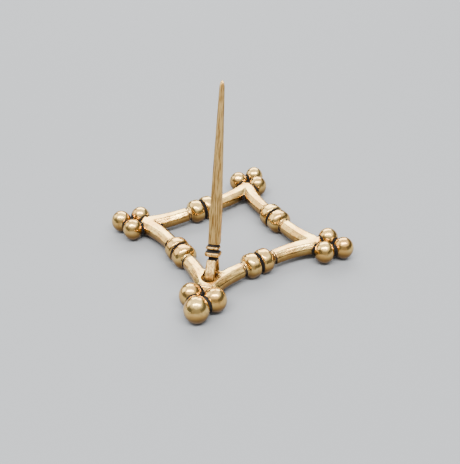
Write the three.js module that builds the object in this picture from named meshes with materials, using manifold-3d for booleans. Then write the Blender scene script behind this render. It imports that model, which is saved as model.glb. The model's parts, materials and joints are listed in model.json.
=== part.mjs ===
// A bronze fibula brooch: an open lozenge frame cast in one piece, and a loose pin whose eye goes round a short
// bridge in the front corner. Millimetres, +Z up, origin on the surface that the brooch lies on, under the middle of
// the frame. The hinge corner is towards -Y and the corner that the pin closes on is towards +Y.
import * as THREE from 'three';
import { mergeVertices } from 'three/addons/utils/BufferGeometryUtils.js';
import Module from 'manifold-3d';

const wasm = await Module();
wasm.setup();

// Balls: each corner has a pair side by side and a single one beyond them.
const BALL_HEIGHT = 2.4; // height of the balls' centres above the surface
const BALL_RADIUS = 2.2;
const BALL_HALF_HEIGHT = 2.48; // a little taller than wide; what would be below the surface is a flat spot
const PAIR_REACH = 21.0; // from the middle of the frame to the line through a pair
const PAIR_SPREAD = 2.5; // from the corner's own line to each ball of the pair
const TIP_REACH = 24.6; // from the middle of the frame to the single ball
const CLUSTER_REACH = 22.2; // the middle of a cluster, which it is turned about
const BALL_SIDES = 12;
const BALL_RINGS = 8;

// The clusters were cast a little unlike: each is turned by its twist, in degrees, and shifted outwards and sideways,
// and its balls are swollen. The hinge corner has the largest balls, and the far corner's cluster is turned the most.
// beadSlide is how far the beads of the bar that follows a corner are off the bar's middle, towards the next corner.
const CORNERS = [
  { angle: -90, twist: -4, outwards: 0.35, sideways: -0.15, pairSwell: 1.08, tipSwell: 1.18, beadSlide: -0.45 },
  { angle: 0, twist: -2, outwards: 0, sideways: 0, pairSwell: 1, tipSwell: 1, beadSlide: -0.45 },
  { angle: 90, twist: -12, outwards: 0, sideways: 0, pairSwell: 1, tipSwell: 1, beadSlide: 0 },
  { angle: 180, twist: 0, outwards: 0, sideways: 0, pairSwell: 1, tipSwell: 1.02, beadSlide: 0 },
];

// Bars: four shallow curves with a narrow flat top between bevels, running from corner to corner.
const BAR_TOP = 3.8;
const BAR_BOTTOM = 0.85;
const BAR_INNER = 10.25; // inner edge at the middle of the bar, from the middle of the frame, square to the bar
const BAR_OUTER = 13.45; // outer edge at the middle of the bar
const OUTER_FLARE = { size: 1.6, power: 3 }; // how far an edge has swung out where the corner plate starts
const INNER_FLARE = { size: 0.9, power: 4 };
const BAR_REACH = 11.9; // from the middle of the bar to where the corner plate starts
const BAR_STEPS = 5; // straight steps in each half of an edge
const BAR_BEVEL = 0.9;
const PLATE_REACH = 20.4; // the end of the corner plate, between the pair of balls
const PLATE_HALF_WIDTH = 1.7;

// Beads: two on each bar, side by side, with a narrow groove between them and at each end.
const BEAD_DISTANCE = 11.8; // from the middle of the frame to the beads' axis
const BEAD_HEIGHT = 2.3;
const BEAD_RADIUS = 2.68;
const BEAD_PITCH = 3.5; // length along the bar that a bead takes, with its share of the groove
const BEAD_GAP = 0.3; // width of the groove between the two
const BEAD_SQUARENESS = 2.8; // 2 is a plain ellipse, more is squarer
const BEAD_SIDES = 14;
const BEAD_STEPS = 5;
const BEAD_GROOVE_RADIUS = 1.5;
const END_GROOVE_WIDTH = 0.34;
const END_GROOVE_RADIUS = 1.4;
const END_GROOVE_OVERLAP = 0.1; // how far the groove runs in under the bead
const END_GROOVE_SIDES = 10;

// Cores: the metal deep between the balls of a cluster, and the narrow groove where the plate stops short of them.
const PLATE_GROOVE = 0.2;
const CORE_RADIUS = 1.9;
const CORE_TOP = 2.0;
const CORE_BOTTOM = 1.0;
const CORE_SIDES = 10;
const NECK_LENGTH = 4.8; // from the middle of a cluster back under the plate
const NECK_WIDTH = 3.0;

// Hinge: a round hole through the plate, and a bar left standing between it and the frame's opening.
const PIVOT_REACH = 14.5; // from the middle of the frame to the pin's turning axis
const PIVOT_HEIGHT = 2.9;
const HOLE_REACH = 16.75;
const HOLE_RADIUS = 1.48;
const BRIDGE_HALF_DEPTH = 0.62;
const BRIDGE_HALF_HEIGHT = 0.92;
const BRIDGE_LENGTH = 5.4; // its ends are buried in the bars on both sides
const BRIDGE_SIDES = 14;
const HOLE_SIDES = 22;
const EYE_SIDE_GAP = 0.26;

// Pin: an eye bent from flat strip, two collar rings, and a shank that tapers to a point.
const REST_ELEVATION = 71; // degrees that the pin stands at, above the far side of the frame
const PIN_LENGTH = 37.8; // from the turning axis to the point
const EYE_HALF_WIDTH = 1.06;
const EYE_OUTER = 2.5;
const EYE_INNER = 1.65;
const EYE_SHOULDER = { halfWidth: 1.3, height: 3.27 };
const EYE_APEX = { halfWidth: 0.4, height: 2.5 };
const EYE_BEVEL = 0.18;
const EYE_STEPS = 10; // straight steps in the curve of the eye
const SHANK_DEPTH_RATIO = 0.82;
const SHANK_SHIFT = 0.2; // how far the shank was filed off the middle of the eye
const SHANK = [
  { height: 6.33, halfWidth: 1.22 },
  { height: 12.0, halfWidth: 1.22 }, // the taper starts
  { height: 36.0, halfWidth: 0.54 }, // the point starts
  { height: 37.3, halfWidth: 0.34 },
  { height: PIN_LENGTH, halfWidth: 0 },
];
const RINGS = [
  { middle: 4.12, halfLength: 0.52, halfWidth: 1.58, halfDepth: 1.4 },
  { middle: 5.47, halfLength: 0.5, halfWidth: 1.4, halfDepth: 1.15 },
];
const RING_ROUNDING = 0.3; // how much narrower a ring is at its two ends
const RING_CROWN = 0.45; // the share of a ring's half length that has its full width
const GROOVE_LIP = 0.05; // how far a groove's wall leans
const COLLAR_CORE = { halfWidth: 0.84, foot: 2.85 }; // square core of the collar, started inside the eye
const PIN_SIDES = 16;
const PIN_SQUARENESS = 4.5; // 2 is a round section, more is squarer

const bronze = (name, colour, roughness) => {
  const material = new THREE.MeshStandardMaterial({ color: colour, roughness, metalness: 1 });
  material.name = name;
  return material;
};

const radians = (degrees) => (degrees * Math.PI) / 180;

// Geometry to solid and back -------------------------------------------------------------------------------------

function solid(geometry) {
  const bare = geometry.index ? geometry.clone() : geometry;
  bare.deleteAttribute('normal');
  bare.deleteAttribute('uv');
  const merged = mergeVertices(bare, 1e-4);
  return new wasm.Manifold(new wasm.Mesh({
    numProp: 3,
    vertProperties: new Float32Array(merged.attributes.position.array),
    triVerts: new Uint32Array(merged.index.array),
  }));
}

function geometryOf(manifold) {
  const mesh = manifold.getMesh();
  const geometry = new THREE.BufferGeometry();
  geometry.setAttribute('position', new THREE.BufferAttribute(mesh.vertProperties, 3));
  geometry.setIndex(new THREE.BufferAttribute(mesh.triVerts, 1));
  geometry.computeVertexNormals();
  return geometry;
}

function joined(geometries) {
  return geometries.map(solid).reduce((whole, piece) => whole.add(piece));
}

// Places -----------------------------------------------------------------------------------------------------------

// A point given along a direction from the middle of the frame and across it, to the left.
function polarPoint(angle, along, across) {
  const a = radians(angle);
  return new THREE.Vector2(
    along * Math.cos(a) - across * Math.sin(a),
    along * Math.sin(a) + across * Math.cos(a),
  );
}

// The places of a corner's three balls, with the cluster turned about its own middle.
function ballPlaces(corner) {
  const places = [
    { along: PAIR_REACH, across: PAIR_SPREAD, swell: corner.pairSwell },
    { along: PAIR_REACH, across: -PAIR_SPREAD, swell: corner.pairSwell },
    { along: TIP_REACH, across: 0, swell: corner.tipSwell },
  ];
  return places.map(({ along, across, swell }) => {
    const turned = new THREE.Vector2(along - CLUSTER_REACH, across)
      .rotateAround(new THREE.Vector2(), radians(corner.twist));
    const out = CLUSTER_REACH + corner.outwards + turned.x;
    return { centre: polarPoint(corner.angle, out, corner.sideways + turned.y), swell };
  });
}

// Frame pieces -----------------------------------------------------------------------------------------------------

// Distance of a bar's edge from the middle of the frame, at a place along the bar.
function edgeDistance(middle, flare, along) {
  return middle + flare.size * Math.abs(along / BAR_REACH) ** flare.power;
}

// An edge of the bar that follows a corner, out to the same reach on both sides of the bar's middle.
function barEdge(corner, middle, flare, reach) {
  const points = [];
  for (let step = -BAR_STEPS; step <= BAR_STEPS; step += 1) {
    const along = (step / BAR_STEPS) * reach;
    points.push(polarPoint(corner.angle + 45, edgeDistance(middle, flare, along), along));
  }
  return points;
}

// Half the length of a bar's inner edge: two edges meet where the distance along equals the distance out.
function innerReach() {
  let reach = BAR_INNER;
  for (let round = 0; round < 8; round += 1) {
    reach = edgeDistance(BAR_INNER, INNER_FLARE, reach);
  }
  return reach;
}

// The frame in plan: bars that are straight in the middle and swing out into the corner plates.
function frameOutline() {
  const outer = CORNERS.flatMap((corner) => [
    polarPoint(corner.angle, PLATE_REACH, -PLATE_HALF_WIDTH),
    polarPoint(corner.angle, PLATE_REACH, PLATE_HALF_WIDTH),
    ...barEdge(corner, BAR_OUTER, OUTER_FLARE, BAR_REACH),
  ]);
  // Each inner edge leaves out its last point, where the next one starts.
  const opening = CORNERS.flatMap((corner) => barEdge(corner, BAR_INNER, INNER_FLARE, innerReach()).slice(0, -1));
  const outline = new THREE.Shape(outer);
  outline.holes.push(new THREE.Path(opening));
  return outline;
}

function frameBars() {
  const geometry = new THREE.ExtrudeGeometry(frameOutline(), {
    depth: BAR_TOP - BAR_BOTTOM - 2 * BAR_BEVEL,
    bevelEnabled: true,
    bevelThickness: BAR_BEVEL,
    bevelSize: BAR_BEVEL,
    bevelOffset: -BAR_BEVEL,
    bevelSegments: 1,
  });
  return geometry.translate(0, 0, BAR_BOTTOM + BAR_BEVEL);
}

function ball({ centre, swell }, clearance = 0) {
  const radius = BALL_RADIUS * swell + clearance;
  const tall = BALL_HALF_HEIGHT * swell + clearance;
  return new THREE.SphereGeometry(1, BALL_SIDES, BALL_RINGS)
    .rotateX(Math.PI / 2)
    .scale(radius, radius, tall)
    .translate(centre.x, centre.y, BALL_HEIGHT);
}

// A post in the middle of a cluster, and a neck that runs from it back under the plate and ties the balls to it.
function clusterCore({ angle }) {
  const height = CORE_TOP - CORE_BOTTOM;
  const middle = polarPoint(angle, CLUSTER_REACH, 0);
  const post = new THREE.CylinderGeometry(CORE_RADIUS, CORE_RADIUS, height, CORE_SIDES)
    .rotateX(Math.PI / 2)
    .translate(middle.x, middle.y, CORE_BOTTOM + height / 2);
  const neck = new THREE.BoxGeometry(NECK_LENGTH, NECK_WIDTH, height)
    .translate(CLUSTER_REACH - NECK_LENGTH / 2, 0, CORE_BOTTOM + height / 2)
    .rotateZ(radians(angle));
  return [post, neck];
}

// A lathe form whose axis is the bar's own, on the bar that follows a corner.
function onBar(corner, profile, sides) {
  return new THREE.LatheGeometry(profile, sides)
    .translate(BEAD_DISTANCE, corner.beadSlide, BEAD_HEIGHT)
    .rotateZ(radians(corner.angle + 45));
}

// The profile of both beads: a rounded one on each side of the bar's middle, and the groove between them. Each point
// is a radius and a place along the bar.
function beadProfile() {
  const near = [];
  for (let step = 0; step <= BEAD_STEPS; step += 1) {
    const turn = (Math.PI * step) / BEAD_STEPS;
    const bulge = Math.sin(turn) ** (2 / BEAD_SQUARENESS);
    const slide = Math.sign(Math.cos(turn)) * Math.abs(Math.cos(turn)) ** (2 / BEAD_SQUARENESS);
    const along = (BEAD_PITCH - slide * (BEAD_PITCH - BEAD_GAP)) / 2;
    near.push(new THREE.Vector2(Math.max(BEAD_RADIUS * bulge, BEAD_GROOVE_RADIUS), along));
  }
  const far = near.map(({ x, y }) => new THREE.Vector2(x, -y)).reverse();
  return [new THREE.Vector2(0, -BEAD_PITCH), ...far, ...near, new THREE.Vector2(0, BEAD_PITCH)];
}

// The ring of metal taken off the bar just past a bead.
function endGrooveProfile(side) {
  const start = side * (BEAD_PITCH - END_GROOVE_OVERLAP);
  const end = side * (BEAD_PITCH + END_GROOVE_WIDTH);
  const deep = END_GROOVE_RADIUS;
  const clear = BEAD_RADIUS;
  const corners = [[deep, start], [deep, end], [clear, end], [clear, start], [deep, start]];
  const points = corners.map(([radius, along]) => new THREE.Vector2(radius, along));
  return side > 0 ? points.reverse() : points;
}

// The space that the pin's eye turns in, round the bridge.
function eyeSlot() {
  const halfWidth = EYE_HALF_WIDTH + EYE_SIDE_GAP;
  const length = HOLE_REACH - BAR_INNER;
  return new THREE.BoxGeometry(2 * halfWidth, length, 2 * BAR_TOP)
    .translate(0, -HOLE_REACH + length / 2, BAR_TOP / 2);
}

function hingeHole() {
  return new THREE.CylinderGeometry(HOLE_RADIUS, HOLE_RADIUS, 2 * BAR_TOP, HOLE_SIDES)
    .rotateX(Math.PI / 2)
    .translate(0, -HOLE_REACH, BAR_TOP / 2);
}

function bridge() {
  return new THREE.CylinderGeometry(1, 1, BRIDGE_LENGTH, BRIDGE_SIDES)
    .rotateZ(Math.PI / 2)
    .scale(1, BRIDGE_HALF_DEPTH, BRIDGE_HALF_HEIGHT)
    .translate(0, -PIVOT_REACH, PIVOT_HEIGHT);
}

// A block whose top is the surface that the brooch lies on.
function ground() {
  const width = 4 * TIP_REACH;
  return new THREE.BoxGeometry(width, width, BAR_TOP).translate(0, 0, -BAR_TOP / 2);
}

function frame() {
  const balls = CORNERS.flatMap(ballPlaces);
  let body = solid(frameBars());
  for (const place of balls) {
    body = body.subtract(solid(ball(place, PLATE_GROOVE)));
  }
  for (const corner of CORNERS) {
    body = body.subtract(solid(onBar(corner, endGrooveProfile(1), END_GROOVE_SIDES)));
    body = body.subtract(solid(onBar(corner, endGrooveProfile(-1), END_GROOVE_SIDES)));
  }
  body = body.add(joined(CORNERS.map((corner) => onBar(corner, beadProfile(), BEAD_SIDES))));
  body = body.add(joined(CORNERS.flatMap(clusterCore)));
  body = body.add(joined(balls.map((place) => ball(place))));
  body = body.subtract(joined([eyeSlot(), hingeHole()]));
  body = body.add(solid(bridge()));
  return geometryOf(body.subtract(solid(ground())));
}

// Pin pieces -------------------------------------------------------------------------------------------------------

// A round end about the turning axis whose sides run straight, touching it, up to a flat top.
function teardrop(target, radius, { halfWidth, height }) {
  const distance = Math.hypot(halfWidth, height);
  const touch = Math.atan2(height, halfWidth) - Math.acos(radius / distance);
  target.moveTo(halfWidth, height);
  target.lineTo(-halfWidth, height);
  target.absarc(0, 0, radius, Math.PI - touch, 2 * Math.PI + touch, false);
  target.closePath();
  return target;
}

// The eye stands in the YZ plane, so it turns round the bridge.
function eye() {
  const outline = teardrop(new THREE.Shape(), EYE_OUTER, EYE_SHOULDER);
  outline.holes.push(teardrop(new THREE.Path(), EYE_INNER, EYE_APEX));
  const geometry = new THREE.ExtrudeGeometry(outline, {
    depth: 2 * (EYE_HALF_WIDTH - EYE_BEVEL),
    bevelEnabled: true,
    bevelThickness: EYE_BEVEL,
    bevelSize: EYE_BEVEL,
    bevelOffset: -EYE_BEVEL,
    bevelSegments: 1,
    curveSegments: EYE_STEPS,
  });
  return geometry
    .translate(0, 0, EYE_BEVEL - EYE_HALF_WIDTH)
    .rotateX(Math.PI / 2)
    .rotateZ(Math.PI / 2);
}

// A turned form brought to a soft square section. Each row of the profile is [height, half width, half depth, shift].
function squaredLathe(profile) {
  const points = profile.map(([height, halfWidth]) => new THREE.Vector2(halfWidth, height));
  const geometry = new THREE.LatheGeometry(points, PIN_SIDES).rotateX(Math.PI / 2);
  const position = geometry.attributes.position;
  for (let i = 0; i < position.count; i += 1) {
    const x = position.getX(i);
    const y = position.getY(i);
    const turn = Math.atan2(y, x);
    const sum = Math.abs(Math.cos(turn)) ** PIN_SQUARENESS + Math.abs(Math.sin(turn)) ** PIN_SQUARENESS;
    const corner = sum ** (-1 / PIN_SQUARENESS);
    const [, halfWidth, halfDepth, shift] = profile[i % profile.length];
    position.setXY(i, x * corner + shift, halfWidth > 0 ? y * corner * (halfDepth / halfWidth) : 0);
  }
  return geometry;
}

// Rows of the profile from the foot of the collar to the point.
function pinProfile() {
  const core = (height) => [height, COLLAR_CORE.halfWidth, COLLAR_CORE.halfWidth, 0];
  const rows = [[COLLAR_CORE.foot, 0, 0, 0], core(COLLAR_CORE.foot)];
  for (const { middle, halfLength, halfWidth, halfDepth } of RINGS) {
    const crown = halfLength * RING_CROWN;
    const narrow = [halfWidth - RING_ROUNDING, halfDepth - RING_ROUNDING, 0];
    rows.push(core(middle - halfLength - GROOVE_LIP));
    rows.push([middle - halfLength, ...narrow]);
    rows.push([middle - crown, halfWidth, halfDepth, 0]);
    rows.push([middle + crown, halfWidth, halfDepth, 0]);
    rows.push([middle + halfLength, ...narrow]);
    rows.push(core(middle + halfLength + GROOVE_LIP));
  }
  rows.push(core(SHANK[0].height - GROOVE_LIP));
  for (const { height, halfWidth } of SHANK) {
    rows.push([height, halfWidth, halfWidth * SHANK_DEPTH_RATIO, SHANK_SHIFT]);
  }
  return rows;
}

function pin() {
  return geometryOf(solid(squaredLathe(pinProfile())).add(solid(eye())));
}

// Model ------------------------------------------------------------------------------------------------------------

const fibula = new THREE.Group();

const frameMesh = new THREE.Mesh(frame(), bronze('polished cast bronze', 0xc9a566, 0.3));
frameMesh.name = 'frame';
fibula.add(frameMesh);

const pinMesh = new THREE.Mesh(pin(), bronze('filed bronze', 0xb08f5c, 0.42));
pinMesh.name = 'pin';
pinMesh.position.set(0, -PIVOT_REACH, PIVOT_HEIGHT);
pinMesh.rotation.x = radians(REST_ELEVATION - 90);
fibula.add(pinMesh);

export default fibula;
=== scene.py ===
"""A bronze fibula brooch: a cast lozenge frame with beads and clusters of balls, and a hinged pin."""

import json
import math
from functools import partial

import bpy
import numpy as np
from bpy.props import FloatProperty, FloatVectorProperty, PointerProperty, StringProperty
from mathutils import Matrix, Vector


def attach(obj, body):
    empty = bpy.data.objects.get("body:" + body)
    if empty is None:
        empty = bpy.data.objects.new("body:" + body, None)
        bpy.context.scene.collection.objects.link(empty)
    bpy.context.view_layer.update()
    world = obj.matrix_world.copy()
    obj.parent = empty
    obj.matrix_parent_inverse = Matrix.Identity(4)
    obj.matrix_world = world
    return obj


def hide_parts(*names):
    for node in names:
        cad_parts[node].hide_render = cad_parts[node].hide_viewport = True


bl_info = {
    "name": "Fibula brooch",
    "version": (1, 0, 0),
    "blender": (4, 5, 0),
    "location": "3D View > Sidebar > Brooch",
    "description": "Builds a cast bronze fibula brooch round its packed frame",
    "category": "Object",
}

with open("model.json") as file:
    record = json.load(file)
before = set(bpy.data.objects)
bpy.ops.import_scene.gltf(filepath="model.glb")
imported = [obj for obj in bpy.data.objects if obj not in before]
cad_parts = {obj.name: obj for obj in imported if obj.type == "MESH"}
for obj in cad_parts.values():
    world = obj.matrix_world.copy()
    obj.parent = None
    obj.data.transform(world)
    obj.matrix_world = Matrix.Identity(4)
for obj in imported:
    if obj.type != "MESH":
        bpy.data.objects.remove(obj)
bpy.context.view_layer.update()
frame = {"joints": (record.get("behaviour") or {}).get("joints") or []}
MM = 0.001
# A point on the pin's turning axis, in millimetres, as all the modelling below.
PIVOT = np.array(frame["joints"][0]["pos_m"]) * 1000.0


# Sizes and colours ---------------------------------------------------------------------------------

def size(name, description, default):
    """A length in millimetres, or a shift where it is negative."""
    return FloatProperty(name=name, description=description, default=default)


def degrees(name, description, default):
    """An angle in degrees."""
    return FloatProperty(name=name, description=description, default=default)


def colour(name, description, default):
    """An sRGB colour as a hex string."""
    return StringProperty(name=name, description=description, default=default)


class BroochFrameSizes(bpy.types.PropertyGroup):
    """Sizes of the cast frame, in millimetres."""

    ball_height: size("Ball height", "Height of the balls' centres above the surface", 2.4)
    ball_radius: size("Ball radius", "Half the width of a ball", 2.2)
    ball_half_height: size("Ball half height", "Half the height of a ball", 2.48)
    ball_gap: size("Ball gap", "Width of the groove between a ball and its plate", 0.15)
    pair_reach: size("Pair reach", "From the middle of the frame to a corner's pair of balls", 21.0)
    pair_spread: size("Pair spread", "From the corner's line to each ball of the pair", 2.5)
    tip_reach: size("Tip reach", "From the middle of the frame to a corner's single ball", 24.6)
    cluster_reach: size("Cluster reach", "From the middle of the frame to the middle of a cluster", 22.2)
    bar_top: size("Bar top", "Height of the bars' flat top", 3.8)
    bar_bottom: size("Bar bottom", "Height of the bars' underside", 0.85)
    bar_inner: size("Bar inner", "From the middle to the bars' inner edge", 10.25)
    inner_flare: size("Inner flare", "How far the inner edge swings out towards a corner", 0.9)
    bar_outer: size("Bar outer", "From the middle to the bars' outer edge", 13.45)
    bar_flare: size("Bar flare", "How far the outer edge swings out towards a corner", 1.6)
    bar_reach: size("Bar reach", "Half the length of a bar's curved edge", 11.9)
    bar_chamfer: size("Bar chamfer", "Width of the bevels along the top of the bars", 0.95)
    plate_reach: size("Plate reach", "From the middle to the end of a corner plate", 20.4)
    plate_half_width: size("Plate half width", "Half the width of a corner plate at its end", 1.7)
    bead_distance: size("Bead distance", "From the middle to the axis of the beads", 11.8)
    bead_height: size("Bead height", "Height of the beads' axis", 2.3)
    bead_radius: size("Bead radius", "Radius of a bead", 2.68)
    bead_half_length: size("Bead half length", "Half a bead's length, with its share of the gap", 1.75)
    bead_slide: size("Bead slide", "How far the right-hand pairs are off the middle of their bars", -0.45)
    bead_gap: size("Bead gap", "Width of the groove between two beads", 0.26)
    groove_depth: size("Groove depth", "Radius left at the bottom of the grooves at the beads' ends", 1.4)
    hole_reach: size("Hole reach", "From the middle of the frame to the hinge hole", 16.75)
    hole_radius: size("Hole radius", "Radius of the hinge hole", 1.48)
    bridge_half_depth: size("Bridge half depth", "Half the depth of the bridge that the eye turns on", 0.62)
    bridge_half_height: size("Bridge half height", "Half the height of the bridge", 0.92)
    slot_half_width: size("Slot half width", "Half the width of the space that the eye turns in", 1.32)


class BroochPinSizes(bpy.types.PropertyGroup):
    """Sizes of the pin, in millimetres."""

    elevation: degrees("Elevation", "How steeply the raised pin stands", 71.0)
    length: size("Length", "From the turning axis to the point", 37.8)
    eye_half_width: size("Eye half width", "Half the width of the strip that the eye is bent from", 1.06)
    eye_outer: size("Eye outer", "Outer radius of the eye", 2.5)
    eye_inner: size("Eye inner", "Inner radius of the eye", 1.65)
    shoulder_half_width: size("Shoulder half width", "Half the eye's depth where it meets the collar", 1.3)
    shoulder_height: size("Shoulder height", "Height of the eye's top above the turning axis", 3.27)
    shank_half_width: size("Shank half width", "Half the width of the shank", 1.22)
    shank_half_depth: size("Shank half depth", "Half the depth of the shank", 0.98)
    shank_bevel: size("Shank bevel", "Width of the bevels along the shank", 0.3)
    shank_shift: size("Shank shift", "How far the shank was filed off the middle of the eye", 0.2)
    shank_start: size("Shank start", "Where the shank starts above the turning axis", 6.33)
    taper_start: size("Taper start", "Where the shank starts to narrow", 12.0)
    point_start: size("Point start", "Where the point starts", 36.0)
    point_half_width: size("Point half width", "Half the width of the shank where the point starts", 0.54)


class BroochFinish(bpy.types.PropertyGroup):
    """Colours of the bronze and of the stage."""

    polished: colour("Polished bronze", "Bright metal of the frame", "#F2CC7C")
    rubbed: colour("Rubbed bronze", "Warmer metal in the frame's mottling", "#DEAE62")
    # Besides the thin brown film in specks and file lines, this brown is painted shade that darkens the frame
    # towards the bottom, and it browns the metal near the grooves.
    brown_tone_and_shade: colour("Toned bronze", "Thin brown film on the less worn metal", "#6F4E28")
    patina: colour("Patina", "Black left in the grooves", "#17120E")
    filed: colour("Filed bronze", "Bright lines of the pin", "#F4CC80")
    filed_dark: colour("Filed bronze, dark", "Duller lines of the pin", "#9E753E")
    floor: colour("Floor", "Plain pale floor", "#8C8E90")


class BroochStage(bpy.types.PropertyGroup):
    """Place of the camera and strength of the lights."""

    camera_turn: degrees("Camera turn", "How far to the right of the hinge corner the camera stands", 14.15)
    camera_rise: degrees("Camera rise", "How far above the surface the camera stands", 35.51)
    camera_roll: degrees("Camera roll", "How far the camera leans", -1.62)
    camera_distance: size("Camera distance", "From the aim point to the camera", 148.24)
    camera_aim: FloatVectorProperty(
        name="Camera aim",
        description="Point that the camera looks at, in millimetres",
        default=(0.08, 0.77, 2.4),
    )
    lens: size("Lens", "Focal length, on a sensor 36 mm wide", 53.02)
    light_power: FloatProperty(
        name="Light power",
        description="Share of every soft light's power",
        default=1.0,
    )


# Small helpers -------------------------------------------------------------------------------------

def settings():
    """The frame's sizes, the pin's sizes and the finish."""
    return bpy.context.scene.brooch_frame, bpy.context.scene.brooch_pin, bpy.context.scene.brooch_finish


def linear(hex_colour):
    """The linear colour, with alpha, of an sRGB hex value."""
    parts = [int(hex_colour[i:i + 2], 16) / 255 for i in (1, 3, 5)]
    return (*[c / 12.92 if c <= 0.04045 else ((c + 0.055) / 1.055) ** 2.4 for c in parts], 1.0)


def add_node(tree, kind, inputs=None, **values):
    """A node with its settings, its inputs' values and the links into it."""
    node = tree.nodes.new(kind)
    for name, value in values.items():
        setattr(node, name, value)
    for key, value in (inputs or {}).items():
        if isinstance(value, bpy.types.NodeSocket):
            tree.links.new(value, node.inputs[key])
        else:
            node.inputs[key].default_value = value
    return node


# Distance fields, in millimetres: negative inside the metal ----------------------------------------

def blend_min(a, b, radius):
    """The nearer of two surfaces, with a fillet where they meet."""
    h = np.maximum(radius - np.abs(a - b), 0.0) / radius
    return np.minimum(a, b) - h * h * radius * 0.25


def blend_max(a, b, radius):
    """What two solids share, with its edge rounded over."""
    return -blend_min(-a, -b, radius)


def ellipsoid(p, centre, radii):
    """Distance, close to the surface, from a ball that may be taller than it is wide."""
    q = (p - centre) / radii
    reach = np.linalg.norm(q, axis=-1)
    slope = np.linalg.norm(q / radii, axis=-1)
    return reach * (reach - 1.0) / np.maximum(slope, 1e-6)


def superellipse(u, v, half_u, half_v, power):
    """Distance, close to the surface, from a soft rectangle in the plane of u and v."""
    a, b = np.abs(u) / half_u, np.abs(v) / half_v
    k = (a**power + b**power) ** (1.0 / power) + 1e-9
    slope = k ** (1.0 - power) * np.hypot(a ** (power - 1) / half_u, b ** (power - 1) / half_v)
    return (k - 1.0) / np.maximum(slope, 0.2 / max(half_u, half_v))


def turned(along, across, angle):
    """A point in plan, turned about the origin by an angle in degrees."""
    a = math.radians(angle)
    return along * math.cos(a) - across * math.sin(a), along * math.sin(a) + across * math.cos(a)


# The frame's form ----------------------------------------------------------------------------------

# The clusters were cast a little unlike. Each corner: degrees round from +X, degrees that its cluster is
# turned, how far it is shifted outwards and sideways, and how much its pair and its single ball are swollen.
CORNERS = (
    (-90, -4, 0.35, -0.15, 1.08, 1.18),
    (0, -2, 0.0, 0.0, 1.0, 1.0),
    (90, -12, 0.0, 0.0, 1.0, 1.0),
    (180, 0, 0.0, 0.0, 1.0, 1.02),
)
PLATE_TAPER = 0.39  # how fast a corner plate narrows towards its end
PLATE_SQUARE = 0.93  # turns a distance across a plate into one square to its sloping side
LOWER_CHAMFER = 0.7  # share of the upper bevels' width that the lower ones have
FLARE_POWERS = (3, 4)  # how late the bars' outer and inner edges swing out
BEAD_POWERS = (5.5, 2.4)  # squareness of a bead towards the other bead and towards the bar
BEAD_NECK_RADIUS = 1.5  # metal between the two beads of a pair
END_GROOVE = (0.14, 0.2)  # how far past the beads the end grooves' middles are, and half their width
CORE_RADIUS = 1.9  # metal deep between the balls of a cluster
CORE_NECK = (20.4, 2.0, 1.5)  # middle, half length and half width of the neck from a core to its plate
CORE_HEIGHT = (1.5, 0.5)  # middle and half height of the cores
BRIDGE_POWER = 2.2  # squareness of the bridge's section
BRIDGE_END = 1.4  # how far the bridge runs on into the metal at each side of the slot
# Fillets and rounded edges, from the sharpest to the softest.
SHARP, CRISP, WORN, BRIDGE_FILLET, SOFT, BAR_EDGE, ROUND = 0.05, 0.1, 0.12, 0.15, 0.16, 0.18, 0.3
# What counts as deep in the gap between two beads: how far past its walls, and below the beads' surface.
GAP_SKIN, GAP_DEPTH = 0.05, 1.0
FAR_AWAY = 9.0  # stands for the distance to a ball before any has been looked at


def frame_balls(s):
    """Centre and radii of every ball."""
    balls = []
    for angle, twist, out, sideways, pair, single in CORNERS:
        for along, across, grown in (
            (s.pair_reach, s.pair_spread, pair),
            (s.pair_reach, -s.pair_spread, pair),
            (s.tip_reach, 0, single),
        ):
            turn_along, turn_across = turned(along - s.cluster_reach, across, twist)
            x, y = turned(s.cluster_reach + out + turn_along, turn_across + sideways, angle)
            radii = np.array((s.ball_radius, s.ball_radius, s.ball_half_height)) * grown
            balls.append((np.array((x, y, s.ball_height)), radii))
    return balls


def bars_field(p, s):
    """The open lozenge and its flared corner plates, bevelled all round. One quarter stands for all four."""
    x, y, z = np.abs(p[..., 0]), np.abs(p[..., 1]), p[..., 2]
    out, run = (x + y) / math.sqrt(2), np.abs(y - x) / math.sqrt(2)
    swing = np.minimum(run / s.bar_reach, 1.0)
    outer_power, inner_power = FLARE_POWERS
    outer = s.bar_outer + s.bar_flare * swing**outer_power
    slope = outer_power * s.bar_flare / s.bar_reach * swing**(outer_power - 1)
    plan_outer = (out - outer) / np.hypot(1.0, slope)
    along, across = np.maximum(x, y), np.minimum(x, y)
    neck = s.plate_half_width + (s.plate_reach - along) * PLATE_TAPER
    plate_side = (across - neck) * PLATE_SQUARE
    corner_line = (s.bar_outer + s.bar_flare + s.bar_reach) / math.sqrt(2)
    plan_outer = np.where(along > corner_line, np.maximum(plate_side, along - s.plate_reach), plan_outer)
    inner = s.bar_inner + s.inner_flare * swing**inner_power
    plan = blend_max(plan_outer, inner - out, ROUND)
    middle, half = (s.bar_top + s.bar_bottom) / 2, (s.bar_top - s.bar_bottom) / 2
    tall = np.abs(z - middle) - half
    width = np.where(z > middle, s.bar_chamfer, s.bar_chamfer * LOWER_CHAMFER)
    chamfer = (plan + tall + width) / math.sqrt(2)
    return blend_max(blend_max(plan, tall, CRISP), chamfer, BAR_EDGE)


def along_bar(p, s):
    """How far along its bar a point is from the middle of the beads, and how far from their axis."""
    x, y = np.abs(p[..., 0]), np.abs(p[..., 1])
    # The two pairs on the right sit a little off the middle of their bars.
    slide = np.where(p[..., 0] > 0, s.bead_slide, 0.0)
    run = np.abs((y - x) / math.sqrt(2) * np.sign(p[..., 0] * p[..., 1]) - slide)
    return run, np.hypot((x + y) / math.sqrt(2) - s.bead_distance, p[..., 2] - s.bead_height)


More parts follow.
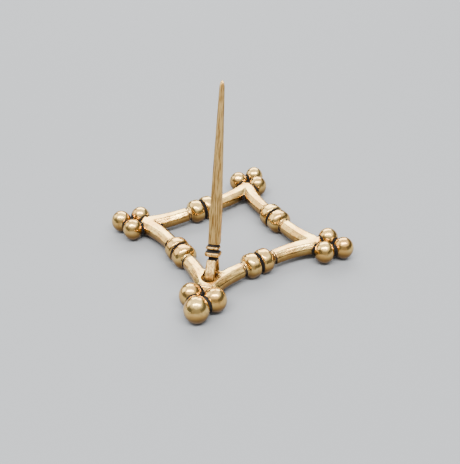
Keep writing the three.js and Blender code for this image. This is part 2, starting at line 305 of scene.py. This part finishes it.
def beads_field(p, s):
    """The pair of beads on each bar, and the grooves at their outer ends."""
    run, radial = along_bar(p, s)
    half = s.bead_half_length - s.bead_gap / 2
    # Each bead is full and flat-sided towards the other one and rounder towards the bar.
    middle = run - s.bead_half_length
    full, rounded = (superellipse(middle, radial, half, s.bead_radius, power) for power in BEAD_POWERS)
    bead = np.where(middle < 0, full, rounded)
    neck = np.maximum(radial - BEAD_NECK_RADIUS, run - s.bead_half_length)
    past_beads, half_width = END_GROOVE
    end = 2 * s.bead_half_length + past_beads
    groove = np.maximum(np.abs(run - end) - half_width, s.groove_depth - radial)
    groove = np.maximum(groove, radial - s.bead_radius)
    return blend_min(bead, neck, WORN), groove


def bead_gaps(p, s):
    """True where a point lies deep between the two beads of a pair."""
    run, radial = along_bar(p, s)
    return (run < s.bead_gap / 2 + GAP_SKIN) & (radial < s.bead_radius - GAP_DEPTH)


def cores_field(p, s):
    """Metal under the grooves, which ties the balls to their plate."""
    along = np.maximum(np.abs(p[..., 0]), np.abs(p[..., 1]))
    across = np.minimum(np.abs(p[..., 0]), np.abs(p[..., 1]))
    post = np.hypot(along - s.cluster_reach, across) - CORE_RADIUS
    neck_middle, neck_half_length, neck_half_width = CORE_NECK
    neck = np.maximum(across - neck_half_width, np.abs(along - neck_middle) - neck_half_length)
    middle, half_height = CORE_HEIGHT
    return np.maximum(np.minimum(post, neck), np.abs(p[..., 2] - middle) - half_height)


def frame_field(p, s):
    """The whole casting, flat underneath where it was worn."""
    body = bars_field(p, s)
    near, balls = np.full(p.shape[:-1], FAR_AWAY), np.full(p.shape[:-1], FAR_AWAY)
    for centre, radii in frame_balls(s):
        ball = ellipsoid(p, centre, radii)
        near = np.minimum(near, ball)
        balls = blend_min(balls, ball, CRISP)
    body = blend_max(body, s.ball_gap - near, CRISP)
    beads, groove = beads_field(p, s)
    body = blend_max(body, -groove, WORN)
    body = blend_min(body, beads, SOFT)
    body = np.minimum(body, cores_field(p, s))
    body = np.minimum(body, balls)
    x, y, z = p[..., 0], p[..., 1], p[..., 2]
    hole = np.hypot(x, y + s.hole_reach) - s.hole_radius
    slot = np.maximum(np.abs(x) - s.slot_half_width, np.maximum(-s.hole_reach - y, y + s.bar_inner))
    body = blend_max(body, -np.minimum(hole, slot), WORN)
    bridge = superellipse(y - PIVOT[1], z - PIVOT[2], s.bridge_half_depth, s.bridge_half_height, BRIDGE_POWER)
    bridge = np.maximum(bridge, np.abs(x) - s.slot_half_width - BRIDGE_END)
    return blend_max(blend_min(body, bridge, BRIDGE_FILLET), -z, SHARP)


# The pin's form, with its turning axis at the origin and its point straight up ---------------------

# Each collar ring: its middle above the turning axis, half length, half width and half depth.
RINGS = ((4.28, 0.55, 1.62, 1.45), (5.56, 0.44, 1.44, 1.22))
RING_POWER = 4.5  # squareness of the rings
CORE = (0.84, 4.0)  # half width and squareness of the metal inside the collar
COLLAR = (4.8, 1.8)  # middle and half length of the collar
# Rounding of the rings, of the strip that the eye is bent from, and of the shank's bevels.
RING_EDGE, STRIP_EDGE, SHANK_EDGE = 0.6, 0.5, 0.15
EYE_APEX = (0.4, 2.5)  # half width and height of the top of the eye's opening


def eye_field(p, s):
    """A strip bent round the bridge, closing in a straight run to the collar."""
    def teardrop(radius, half_width, height):
        distance = math.hypot(half_width, height)
        touch = math.atan2(height, half_width) - math.acos(radius / distance)
        side = np.abs(p[..., 1]) * math.cos(touch) + p[..., 2] * math.sin(touch) - radius
        circle = np.hypot(p[..., 1], p[..., 2]) - radius
        low = np.abs(p[..., 1]) * math.sin(touch) - p[..., 2] * math.cos(touch) > 0
        return np.where(low, circle, np.maximum(side, p[..., 2] - height))

    outer = teardrop(s.eye_outer, s.shoulder_half_width, s.shoulder_height)
    inner = teardrop(s.eye_inner, *EYE_APEX)
    ring = blend_max(outer, -inner, ROUND)
    return blend_max(ring, np.abs(p[..., 0]) - s.eye_half_width, STRIP_EDGE)


def shank_field(p, s):
    """A square shank with bevelled edges, which tapers and is rounded off to its point."""
    z = p[..., 2]
    taper = np.clip((z - s.taper_start) / (s.point_start - s.taper_start), 0.0, 1.0)
    share = 1.0 + (s.point_half_width / s.shank_half_width - 1.0) * taper
    point = np.clip((s.length - z) / (s.length - s.point_start), 0.0, 1.0)
    share = share * np.sqrt(1.0 - (1.0 - point) ** 2 + 1e-6)
    a = np.abs(p[..., 0] - s.shank_shift) / share - s.shank_half_width
    b = np.abs(p[..., 1]) / share - s.shank_half_depth
    bevel = (a + b + s.shank_bevel) / math.sqrt(2)
    section = blend_max(blend_max(a, b, CRISP), bevel, SHANK_EDGE)
    return np.maximum(section * share, np.maximum(s.shank_start - z, z - s.length))


def collar_field(p):
    """Two rings, with deep grooves below, between and above them."""
    z = p[..., 2]
    half_width, power = CORE
    middle, half_length = COLLAR
    core = superellipse(p[..., 0], p[..., 1], half_width, half_width, power)
    field = np.maximum(core, np.abs(z - middle) - half_length)
    for middle, half_length, half_width, half_depth in RINGS:
        section = superellipse(p[..., 0], p[..., 1], half_width, half_depth, RING_POWER)
        field = np.minimum(field, blend_max(section, np.abs(z - middle) - half_length, RING_EDGE))
    return field


def pin_field(p, s):
    """The whole pin."""
    body = blend_min(eye_field(p, s), collar_field(p), CRISP)
    return np.minimum(body, shank_field(p, s))


# From a distance field to a mesh -------------------------------------------------------------------

SLABS = 12  # how many slabs the field is worked out in, to save memory
EASE = 0.5  # how far each point goes towards the middle of its neighbours in a round
LEAST_STEEPNESS = 0.2  # keeps a point from leaping where the field is nearly flat
LONGEST_MOVE = 0.1  # the furthest that a round puts a point back towards the surface


def surface_net(field, low, high, step):
    """A quad mesh: one point in each grid cell that the surface crosses, one face on each grid edge."""
    axes = [np.arange(low[i], high[i] + step, step) for i in range(3)]
    grid = np.stack(np.meshgrid(*axes, indexing="ij"), axis=-1)
    values = np.concatenate([field(slab) for slab in np.array_split(grid, SLABS)])
    inside = values < 0
    shape = np.array(values.shape) - 1
    corners = [np.array((i, j, k)) for i in (0, 1) for j in (0, 1) for k in (0, 1)]
    count = sum(inside[tuple(slice(c[i], c[i] + shape[i]) for i in range(3))].astype(int) for c in corners)
    cells = np.argwhere((count > 0) & (count < 8))
    total, crossings = np.zeros((len(cells), 3)), np.zeros(len(cells))
    for start in corners:
        for axis in range(3):
            if start[axis]:
                continue
            end = start.copy()
            end[axis] = 1
            a = values[tuple((cells + start).T)]
            b = values[tuple((cells + end).T)]
            cut = (a < 0) != (b < 0)
            share = np.where(cut, a / np.where(cut, a - b, 1.0), 0.0)
            spot = cells + start + share[:, None] * (end - start)
            total += spot * cut[:, None]
            crossings += cut
    points = total / crossings[:, None] * step + np.array([a[0] for a in axes])
    number = np.full(shape, -1)
    number[tuple(cells.T)] = np.arange(len(cells))
    faces = []
    for axis in range(3):
        u, v = (axis + 1) % 3, (axis + 2) % 3
        here = [slice(None)] * 3
        there = [slice(None)] * 3
        here[axis], there[axis] = slice(0, -1), slice(1, None)
        edges = np.argwhere(inside[tuple(here)] != inside[tuple(there)])
        outward = inside[tuple(here)][tuple(edges.T)]
        ring = []
        for du, dv in ((0, 0), (1, 0), (1, 1), (0, 1)):
            cell = edges.copy()
            cell[:, u] -= 1 - du
            cell[:, v] -= 1 - dv
            ring.append(number[tuple(cell.T)])
        quad = np.stack(ring, axis=1)
        faces.append(np.where(outward[:, None], quad, quad[:, ::-1]))
    return points, np.concatenate(faces)


def gradient(field, points, reach=0.02):
    """The field's slope at each point."""
    slopes = []
    for axis in range(3):
        shift = np.zeros(3)
        shift[axis] = reach
        slopes.append((field(points + shift) - field(points - shift)) / (2 * reach))
    return np.stack(slopes, axis=-1)


def settle(field, points, faces, rounds=3):
    """Evens out the net's points along the surface and puts them back on it."""
    edges = np.concatenate([faces[:, [i, (i + 1) % 4]] for i in range(4)])
    for _ in range(rounds):
        total, count = np.zeros_like(points), np.zeros(len(points))
        np.add.at(total, edges[:, 0], points[edges[:, 1]])
        np.add.at(count, edges[:, 0], 1)
        points = points * (1 - EASE) + total / count[:, None] * EASE
        slope = gradient(field, points)
        steep = np.maximum((slope**2).sum(axis=-1), LEAST_STEEPNESS)
        move = np.clip(field(points) / steep, -LONGEST_MOVE, LONGEST_MOVE)
        points = points - slope * move[:, None]
    return points


RECESS_REACHES = ((0.3, 0.35), (0.6, 0.35), (1.2, 0.3))  # millimetres, and the share of the shade
CORE_SKIN = 0.04  # how near the cores' surface a point counts as on it
FILED_FADE = 0.3  # how far from the beads and balls the file lines reach their full strength


def recess(field, points):
    """How deep in a groove or corner each point lies: 0 in the open, towards 1 in a crevice.

    At each reach off the surface, metal that is nearer than the reach shades the point.
    """
    slope = gradient(field, points)
    normal = slope / np.maximum(np.linalg.norm(slope, axis=-1), 1e-6)[:, None]
    shade = np.zeros(len(points))
    for reach, weight in RECESS_REACHES:
        shade += weight * np.clip(1.0 - field(points + normal * reach) / reach, 0.0, 1.0)
    return shade


def frame_recess(field, points, s):
    """As recess, and 1 at the bottom of the clusters and of the grooves between beads."""
    bottom = (np.abs(cores_field(points, s)) < CORE_SKIN) | bead_gaps(points, s)
    return np.maximum(recess(field, points), bottom.astype(float))


def filed_bars(points, s):
    """1 on the bars and plates, which were filed along their length, and 0 on the beads and balls."""
    balls = np.min([ellipsoid(points, centre, radii) for centre, radii in frame_balls(s)], axis=0)
    beads, _ = beads_field(points, s)
    return np.clip(np.minimum(balls, beads) / FILED_FADE, 0.0, 1.0)


def cast_mesh(name, field, half, floor, top, step, shades, turn=0.0):
    """A smooth mesh, without open edges, of the field's surface, in metres.

    It gets an attribute from each function in shades. The net's grid is turned by so many degrees, to lie
    along the form's straight edges, and half is half the grid's size in its own X and Y.
    """
    a = math.radians(turn)
    to_form = np.array(((math.cos(a), math.sin(a), 0), (-math.sin(a), math.cos(a), 0), (0, 0, 1)))
    low, high = (-half[0], -half[1], floor), (half[0], half[1], top)
    points, faces = surface_net(lambda p: field(p @ to_form), low, high, step)
    points = settle(field, points @ to_form, faces)
    mesh = bpy.data.meshes.new(name)
    mesh.from_pydata((points * MM).tolist(), [], faces.tolist())
    mesh.validate()
    mesh.shade_smooth()
    for attribute, shade in shades.items():
        values = mesh.attributes.new(attribute, "FLOAT", "POINT").data
        values.foreach_set("value", shade(points).astype(np.float32))
    piece = bpy.data.objects.new(name, mesh)
    bpy.context.scene.collection.objects.link(piece)
    return piece


# Hand finish: uneven casting and filing, in Geometry Nodes --------------------------------------------

# Each input of the hand finish, with its default in metres; the seed is a plain number.
FINISH_INPUTS = (
    ("Hollow Depth", 0.00006),
    ("Hollow Size", 0.003),
    ("Mark Depth", 0.00001),
    ("Mark Width", 0.0005),
    ("Mark Length", 0.0005),
    ("Seed", 1.0),
)
# What wears the surface: the inputs that give its patches' size along X, Y and Z, its octaves of detail, and
# the input that gives its depth.
WEAR = (
    (("Hollow Size", "Hollow Size", "Hollow Size"), 1.0, "Hollow Depth"),
    (("Mark Width", "Mark Width", "Mark Length"), 2.0, "Mark Depth"),
)


def hand_finish_tree():
    """Wears a surface inwards by an uneven amount: broad hollows, and marks drawn out along the piece."""
    tree = bpy.data.node_groups.new("hand_finish", "GeometryNodeTree")
    face = tree.interface
    face.new_socket("Geometry", in_out="INPUT", socket_type="NodeSocketGeometry")
    face.new_socket("Geometry", in_out="OUTPUT", socket_type="NodeSocketGeometry")
    for name, value in FINISH_INPUTS:
        face.new_socket(name, in_out="INPUT", socket_type="NodeSocketFloat").default_value = value
    face.new_socket("Material", in_out="INPUT", socket_type="NodeSocketMaterial")
    given = add_node(tree, "NodeGroupInput").outputs
    place = add_node(tree, "GeometryNodeInputPosition").outputs["Position"]
    normal = add_node(tree, "GeometryNodeInputNormal").outputs["Normal"]
    depths = []
    for patch_inputs, octaves, depth_input in WEAR:
        sizes = {axis: given[name] for axis, name in enumerate(patch_inputs)}
        patch = add_node(tree, "ShaderNodeCombineXYZ", sizes)
        spot = add_node(tree, "ShaderNodeVectorMath", {0: place, 1: patch.outputs[0]}, operation="DIVIDE")
        noise = add_node(tree, "ShaderNodeTexNoise", {
            "Vector": spot.outputs[0], "W": given["Seed"], "Scale": 1.0, "Detail": octaves, "Roughness": 0.5,
        }, noise_dimensions="4D")
        depth = add_node(tree, "ShaderNodeMath", {
            0: noise.outputs[0], 1: given[depth_input],
        }, operation="MULTIPLY")
        depths.append(depth.outputs[0])
    both = add_node(tree, "ShaderNodeMath", dict(enumerate(depths)), operation="ADD")
    inwards = add_node(tree, "ShaderNodeMath", {0: both.outputs[0], 1: -1.0}, operation="MULTIPLY")
    move = add_node(tree, "ShaderNodeVectorMath", {0: normal, "Scale": inwards.outputs[0]}, operation="SCALE")
    worn = add_node(tree, "GeometryNodeSetPosition", {
        "Geometry": given["Geometry"], "Offset": move.outputs[0],
    })
    real = add_node(tree, "GeometryNodeRealizeInstances", {0: worn.outputs[0]})
    dressed = add_node(tree, "GeometryNodeSetMaterial", {
        "Geometry": real.outputs[0], "Material": given["Material"],
    })
    add_node(tree, "NodeGroupOutput", {0: dressed.outputs[0]})
    return tree


def finish_by_hand(piece, place=Matrix(), **values):
    """Applies the hand finish to a piece and leaves it a plain mesh, moved to its place."""
    tree = bpy.data.node_groups.get("hand_finish") or hand_finish_tree()
    modifier = piece.modifiers.new("Hand finish", "NODES")
    modifier.node_group = tree
    inputs = (item for item in tree.interface.items_tree if item.in_out == "INPUT")
    sockets = {item.name.lower().replace(" ", "_"): item.identifier for item in inputs}
    for name, value in values.items():
        modifier[sockets[name]] = value
    bpy.context.view_layer.update()
    evaluated = piece.evaluated_get(bpy.context.evaluated_depsgraph_get())
    mesh = bpy.data.meshes.new_from_object(evaluated)
    mesh.transform(place)
    mesh.name = piece.name
    piece.modifiers.remove(modifier)
    rough = piece.data
    piece.data = mesh
    bpy.data.meshes.remove(rough)


# Materials --------------------------------------------------------------------------------------------

def per_patch(size_mm):
    """The scale of a noise whose patches are about so many millimetres across."""
    return 1.0 / (size_mm * MM)


def bare_metal(name):
    """An empty material, with its node tree, its object coordinates and the piece's recess attribute."""
    material = bpy.data.materials.new(name)
    material.use_nodes = True
    tree = material.node_tree
    tree.nodes.clear()
    place = add_node(tree, "ShaderNodeTexCoord").outputs["Object"]
    hidden = add_node(tree, "ShaderNodeAttribute", attribute_name="recess").outputs["Fac"]
    return material, tree, place, hidden


def along_bars(tree, place):
    """Object coordinates squeezed along the nearest bar, so that a pattern becomes streaks."""
    folded = add_node(tree, "ShaderNodeVectorMath", {0: place}, operation="ABSOLUTE").outputs[0]
    squeezed = add_node(tree, "ShaderNodeMapping", {
        "Vector": folded, "Rotation": (0.0, 0.0, math.radians(-45)), "Scale": (16.0, 1.0, 1.0),
    }, vector_type="TEXTURE")
    return squeezed.outputs[0]


def toned_metal(tree, metal, layers):
    """The metal's colour under its layers of tone, some of which are painted shade.

    Each layer has a mask, the mask's two values between which it changes, its strength at each of them, and
    its colour.
    """
    for mask, (low, high), (start, end), tone in layers:
        share = add_node(tree, "ShaderNodeMapRange", {
            "Value": mask, "From Min": low, "From Max": high, "To Min": start, "To Max": end,
        }, interpolation_type="SMOOTHSTEP").outputs[0]
        metal = add_node(tree, "ShaderNodeMix", {0: share, 6: metal, 7: tone}, data_type="RGBA").outputs[2]
    return metal


def patinated_surface(tree, metal, shine, black, patina, relief):
    """Joins the metal to the patina in its grooves, which is black and dull and no longer reflects as metal.

    shine is the metal's roughness, black is 1 where the patina lies, and relief holds heights, each with its
    depth in millimetres.
    """
    normal = None
    for height, depth_mm in relief:
        bump = {"Height": height, "Strength": 1.0, "Distance": depth_mm * MM}
        if normal:
            bump["Normal"] = normal
        normal = add_node(tree, "ShaderNodeBump", bump).outputs[0]
    colour = add_node(tree, "ShaderNodeMix", {0: black, 6: metal, 7: patina}, data_type="RGBA")
    metallic = add_node(tree, "ShaderNodeMapRange", {
        "Value": black, "From Min": 0.0, "From Max": 1.0, "To Min": 1.0, "To Max": 0.0,
    }, interpolation_type="SMOOTHSTEP")
    roughness = add_node(tree, "ShaderNodeMath", {0: shine, 1: black}, operation="MAXIMUM")
    shader = add_node(tree, "ShaderNodeBsdfPrincipled", {
        "Base Color": colour.outputs[2],
        "Metallic": metallic.outputs[0],
        "Roughness": roughness.outputs[0],
        "Normal": normal,
    })
    add_node(tree, "ShaderNodeOutputMaterial", {"Surface": shader.outputs[0]})


def polished_cast_bronze():
    """Lost-wax cast bronze, black in the grooves, with painted shade that turns it brown towards the bottom.
    """
    _, _, finish = settings()
    material, tree, place, hidden = bare_metal("polished_cast_bronze")
    filed = add_node(tree, "ShaderNodeAttribute", attribute_name="filed").outputs["Fac"]
    height = add_node(tree, "ShaderNodeSeparateXYZ", {0: place}).outputs["Z"]
    broad, fine, lines, dimples = (
        add_node(tree, "ShaderNodeTexNoise", {
            "Vector": spot, "Scale": per_patch(size_mm), "Detail": octaves,
        }).outputs[0]
        for spot, size_mm, octaves in (
            (place, 3.0, 2.0),
            (place, 0.6, 3.0),
            (along_bars(tree, place), 0.3, 2.0),
            (place, 1.3, 2.0),
        )
    )
    scored = add_node(tree, "ShaderNodeMath", {0: lines, 1: filed}, operation="MULTIPLY").outputs[0]
    brown_tone_and_shade = linear(finish.brown_tone_and_shade)
    metal = toned_metal(tree, linear(finish.polished), (
        # Broad patches drift between pale and warm metal, as rubbing leaves them.
        (broad, (0.35, 0.65), (0.0, 1.0), linear(finish.rubbed)),
        # Fine cloudy specks of thin brown tone break up the shine.
        (fine, (0.5, 0.8), (0.0, 0.45), brown_tone_and_shade),
        # The metal turns brown towards every groove, by how enclosed it lies, before it turns black.
        (hidden, (0.3, 0.55), (0.0, 0.85), brown_tone_and_shade),
        # Shallow file lines run along the bars, a little brown in them, and fade out on the beads and balls.
        (scored, (0.5, 0.7), (0.0, 0.45), brown_tone_and_shade),
        # Painted shade: the metal turns brown towards the bottom, standing in for the darker reflections of
        # its lower sides.
        (height, (1.6 * MM, 3.6 * MM), (0.92, 0.0), brown_tone_and_shade),
    ))
    # The patina's edge wanders a little, so that no groove looks painted in.
    wander = add_node(tree, "ShaderNodeMapRange", {
        "Value": fine, "From Min": 0.2, "From Max": 0.8, "To Min": -0.05, "To Max": 0.05,
    }, interpolation_type="SMOOTHSTEP").outputs[0]
    uneven = add_node(tree, "ShaderNodeMath", {0: hidden, 1: wander}, operation="ADD").outputs[0]
    black = add_node(tree, "ShaderNodeMapRange", {
        "Value": uneven, "From Min": 0.44, "From Max": 0.57,
    }, interpolation_type="SMOOTHSTEP").outputs[0]
    shine = add_node(tree, "ShaderNodeMapRange", {
        "Value": fine, "From Min": 0.3, "From Max": 0.7, "To Min": 0.17, "To Max": 0.25,
    }, interpolation_type="SMOOTHSTEP").outputs[0]
    # Shallow casting dimples and rubbing marks keep the highlights soft-edged.
    relief = ((dimples, 0.05), (fine, 0.006), (scored, 0.035))
    patinated_surface(tree, metal, shine, black, linear(finish.patina), relief)
    return material


def filed_bronze():
    """A bronze pin filed square by hand, with fine marks along its length."""
    _, pin, finish = settings()
    material, tree, place, hidden = bare_metal("filed_bronze")
    # The pattern is laid along the pin as it stands, with its turning axis as the centre.
    along = add_node(tree, "ShaderNodeMapping", {
        "Vector": place,
        "Location": tuple(PIVOT * MM),
        "Rotation": (math.radians(pin.elevation - 90), 0.0, 0.0),
        "Scale": (1.0, 1.0, 14.0),
    }, vector_type="TEXTURE").outputs[0]
    marks, patches = (
        add_node(tree, "ShaderNodeTexNoise", {
            "Vector": along, "Scale": per_patch(size_mm), "Detail": octaves,
        }).outputs[0]
        for size_mm, octaves in ((0.22, 3.0), (1.2, 2.0))
    )
    dark = linear(finish.filed_dark)
    metal = toned_metal(tree, linear(finish.filed), (
        # Long streaks of darker tone lie between brighter file marks.
        (marks, (0.4, 0.62), (0.0, 1.0), dark),
        # Whole stretches of the shank are duller, where the file passed less often.
        (patches, (0.45, 0.8), (0.0, 0.6), dark),
        # The metal turns brown where it lies enclosed, in the eye and at the collar.
        (hidden, (0.15, 0.35), (0.0, 0.8), linear(finish.brown_tone_and_shade)),
    ))
    black = add_node(tree, "ShaderNodeMapRange", {
        "Value": hidden, "From Min": 0.3, "From Max": 0.42,
    }, interpolation_type="SMOOTHSTEP").outputs[0]
    shine = add_node(tree, "ShaderNodeMapRange", {
        "Value": marks, "From Min": 0.3, "From Max": 0.7, "To Min": 0.42, "To Max": 0.54,
    }, interpolation_type="SMOOTHSTEP").outputs[0]
    # Shallow lines along the shank catch the light as filed metal does.
    patinated_surface(tree, metal, shine, black, linear(finish.patina), ((marks, 0.02),))
    return material


def matt_floor_sheet():
    """Matt pale grey card, whose soft even sheen lets the metal stand out."""
    _, _, finish = settings()
    material = bpy.data.materials.new("matt_floor_sheet")
    material.use_nodes = True
    shader = material.node_tree.nodes["Principled BSDF"]
    shader.inputs["Base Color"].default_value = linear(finish.floor)
    shader.inputs["Roughness"].default_value = 0.85
    return material


# Operators -----------------------------------------------------------------------------------------

FRAME_CELL = 0.18  # millimetres between the points of the frame's net
PIN_CELL = 0.11  # finer, for the rings' grooves and the point
UNDER_FRAME = -0.4  # where the frame's grid starts, below the surface that the brooch lies on
BALL_ROOM = 1.6  # how many ball radii the frame's grid reaches past the corners
TOP_ROOM = 1.3  # how many half heights of a ball it reaches above the balls' centres
SHANK_ROOM, EYE_ROOM, POINT_ROOM = 0.6, 0.4, 0.4  # what the pin's grid reaches past the shank, eye and point


class BROOCH_OT_frame(bpy.types.Operator):
    """Casts the open lozenge frame with its beads, ball clusters and hinge bridge"""

    bl_idname = "brooch.frame"
    bl_label = "Cast the frame"

    def execute(self, context):
        sizes, _, _ = settings()
        half = sizes.tip_reach / math.sqrt(2) + sizes.ball_radius * BALL_ROOM
        top = sizes.ball_height + sizes.ball_half_height * TOP_ROOM
        field = partial(frame_field, s=sizes)
        shades = {"recess": partial(frame_recess, field, s=sizes), "filed": partial(filed_bars, s=sizes)}
        piece = cast_mesh("cast_frame", field, (half, half), UNDER_FRAME, top, FRAME_CELL, shades, turn=45.0)
        finish_by_hand(
            piece,
            hollow_depth=0.00012,
            hollow_size=0.0028,
            mark_depth=0.00003,
            mark_width=0.0006,
            mark_length=0.0006,
            seed=3.0,
            material=polished_cast_bronze(),
        )
        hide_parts("frame")
        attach(piece, "frame")
        return {"FINISHED"}


class BROOCH_OT_pin(bpy.types.Operator):
    """Makes the pin: its eye round the bridge, its two collar rings and its filed shank"""

    bl_idname = "brooch.pin"
    bl_label = "Make the pin"

    def execute(self, context):
        _, sizes, _ = settings()
        wide, deep = sizes.shank_half_width + SHANK_ROOM, sizes.eye_outer + EYE_ROOM
        top = sizes.length + POINT_ROOM
        field = partial(pin_field, s=sizes)
        shades = {"recess": partial(recess, field)}
        piece = cast_mesh("filed_pin", field, (wide, deep), -deep, top, PIN_CELL, shades)
        lean = Matrix.Rotation(math.radians(sizes.elevation - 90), 4, "X")
        finish_by_hand(
            piece,
            Matrix.Translation(Vector(PIVOT) * MM) @ lean,
            hollow_depth=0.00008,
            hollow_size=0.004,
            mark_depth=0.00004,
            mark_width=0.0003,
            mark_length=0.006,
            seed=5.0,
            material=filed_bronze(),
        )
        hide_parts("pin")
        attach(piece, "pin")
        return {"FINISHED"}


FLOOR_HALF = 0.6  # metres
# Each soft light, facing the brooch: its name, place, width and height in metres, and its power in watts.
SOFT_LIGHTS = (
    ("back_panel", (-0.08, 0.34, 0.26), 0.5, 0.22, 2.9),
    ("overhead_strip", (0.032, -0.129, 0.356), 0.5, 0.045, 3.2),
    ("left_panel", (-0.5, 0.05, 0.24), 0.35, 0.3, 0.9),
    ("front_fill", (0.12, -0.5, 0.12), 0.7, 0.3, 0.2),
)
SKY_COLOUR = (0.97, 0.98, 1.0, 1.0)  # linear, a trace cooler than white


def lay_floor(scene):
    """A plain square sheet under the brooch."""
    half = FLOOR_HALF
    mesh = bpy.data.meshes.new("floor")
    corners = [(-half, -half, 0), (half, -half, 0), (half, half, 0), (-half, half, 0)]
    mesh.from_pydata(corners, [], [(0, 1, 2, 3)])
    mesh.materials.append(matt_floor_sheet())
    floor = bpy.data.objects.new("floor", mesh)
    scene.collection.objects.link(floor)


def hang_lights(scene, look):
    """Rectangular soft boxes, which the balls and bars reflect."""
    for name, place, width, height, power in SOFT_LIGHTS:
        light = bpy.data.lights.new(name, "AREA")
        light.shape = "RECTANGLE"
        light.size, light.size_y = width, height
        light.energy = power * look.light_power
        lamp = bpy.data.objects.new(name, light)
        lamp.location = place
        lamp.rotation_euler = (-Vector(place)).to_track_quat("-Z", "Y").to_euler()
        scene.collection.objects.link(lamp)


def studio_sky():
    """A grey room, bright overhead and dim at the sides."""
    world = bpy.data.worlds.new("studio")
    world.use_nodes = True
    tree = world.node_tree
    tree.nodes.clear()
    direction = add_node(tree, "ShaderNodeTexCoord").outputs["Generated"]
    height = add_node(tree, "ShaderNodeSeparateXYZ", {0: direction}).outputs["Z"]
    strength = add_node(tree, "ShaderNodeMapRange", {
        "Value": height, "From Min": 0.4, "From Max": 0.75, "To Min": 0.14, "To Max": 1.9,
    }, interpolation_type="SMOOTHSTEP").outputs[0]
    glow = add_node(tree, "ShaderNodeBackground", {"Color": SKY_COLOUR, "Strength": strength})
    add_node(tree, "ShaderNodeOutputWorld", {"Surface": glow.outputs[0]})
    return world


def place_camera(scene, look):
    """The camera, turned and raised about its aim point and then leant a little."""
    camera = bpy.data.cameras.new("camera")
    camera.lens = look.lens
    camera.clip_start = 0.005
    eye = bpy.data.objects.new("camera", camera)
    turn, rise, roll = (math.radians(a) for a in (look.camera_turn, look.camera_rise, look.camera_roll))
    back = Vector((math.sin(turn) * math.cos(rise), -math.cos(turn) * math.cos(rise), math.sin(rise)))
    level = Vector((0, 0, 1)).cross(back).normalized()
    upright = back.cross(level)
    right = level * math.cos(roll) + upright * math.sin(roll)
    up = upright * math.cos(roll) - level * math.sin(roll)
    eye.matrix_world = Matrix((
        (right.x, up.x, back.x, 0),
        (right.y, up.y, back.y, 0),
        (right.z, up.z, back.z, 0),
        (0, 0, 0, 1),
    ))
    eye.location = (Vector(look.camera_aim) + back * look.camera_distance) * MM
    scene.collection.objects.link(eye)
    scene.camera = eye


class BROOCH_OT_stage(bpy.types.Operator):
    """Lays the plain floor, hangs the soft lights and sets the camera"""

    bl_idname = "brooch.stage"
    bl_label = "Set the stage"

    def execute(self, context):
        scene = context.scene
        look = scene.brooch_stage
        lay_floor(scene)
        hang_lights(scene, look)
        scene.world = studio_sky()
        place_camera(scene, look)
        return {"FINISHED"}


class BROOCH_PT_panel(bpy.types.Panel):
    """The brooch's steps and sizes"""

    bl_idname = "BROOCH_PT_panel"
    bl_label = "Fibula brooch"
    bl_space_type = "VIEW_3D"
    bl_region_type = "UI"
    bl_category = "Brooch"

    def draw(self, context):
        for step in STEPS:
            self.layout.operator(step.bl_idname)


GROUPS = {
    "brooch_frame": BroochFrameSizes,
    "brooch_pin": BroochPinSizes,
    "brooch_finish": BroochFinish,
    "brooch_stage": BroochStage,
}
STEPS = (BROOCH_OT_frame, BROOCH_OT_pin, BROOCH_OT_stage)


def register():
    for part in (*GROUPS.values(), *STEPS, BROOCH_PT_panel):
        bpy.utils.register_class(part)
    for name, group in GROUPS.items():
        setattr(bpy.types.Scene, name, PointerProperty(type=group))


def unregister():
    for name in GROUPS:
        delattr(bpy.types.Scene, name)
    for part in (BROOCH_PT_panel, *STEPS, *GROUPS.values()):
        bpy.utils.unregister_class(part)


def main():
    register()
    bpy.ops.brooch.frame()
    bpy.ops.brooch.pin()
    bpy.ops.brooch.stage()


if __name__ == "__main__":
    main()
